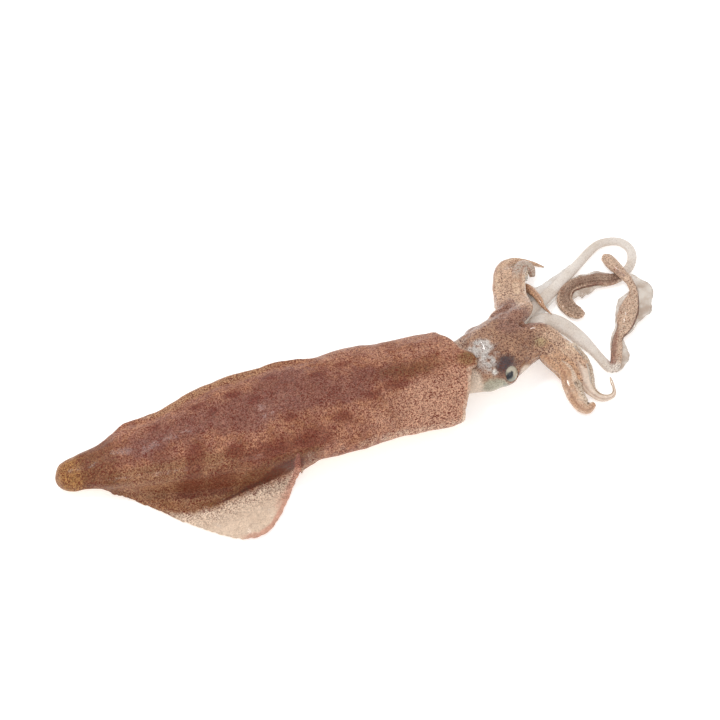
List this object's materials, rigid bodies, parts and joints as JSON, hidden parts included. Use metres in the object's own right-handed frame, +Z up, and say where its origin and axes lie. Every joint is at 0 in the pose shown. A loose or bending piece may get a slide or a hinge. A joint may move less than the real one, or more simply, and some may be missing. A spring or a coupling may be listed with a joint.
{
  "type": "whole raw squid",
  "caption": "Whole raw squid lying on its belly, one fin spread and one tucked under, head turned aside, arms curled and tentacles laid out in loose loops.",
  "frame": {"origin": "middle of the bounding box's underside, on the surface that the squid lies on", "axes": "+X from the mantle's closed tip towards the mouth of the mantle and the arms, +Y to the animal's left, +Z up"},
  "size_m": [0.2672, 0.0998, 0.0255],
  "materials": {
    "mantle_skin": "wet skin, reddish brown with fine dark speckles",
    "fin_skin": "wet skin, brown at the root, pale and translucent at the edge",
    "head_skin": "wet skin, brown with pale iridescent patches",
    "funnel_flesh": "wet pale flesh",
    "eyeball": "wet and glossy, silvery green with a dark pupil",
    "arm_skin": "wet skin, tan brown with fine speckles, pale suckers",
    "tentacle_flesh": "wet pale flesh, browner clubs with a pale frill"
  },
  "bodies": {
    "root": {"mantle": "mantle_skin", "fin_right": "fin_skin", "fin_left": "fin_skin", "head": "head_skin", "funnel": "funnel_flesh", "eye_right": "eyeball", "eye_left": "eyeball", "arm_right_1": "arm_skin", "arm_right_2": "arm_skin", "arm_right_3": "arm_skin", "arm_right_4": "arm_skin", "arm_left_1": "arm_skin", "arm_left_2": "arm_skin", "arm_left_3": "arm_skin", "arm_left_4": "arm_skin", "tentacle_right": "tentacle_flesh", "tentacle_left": "tentacle_flesh"}
  },
  "joints": []
}
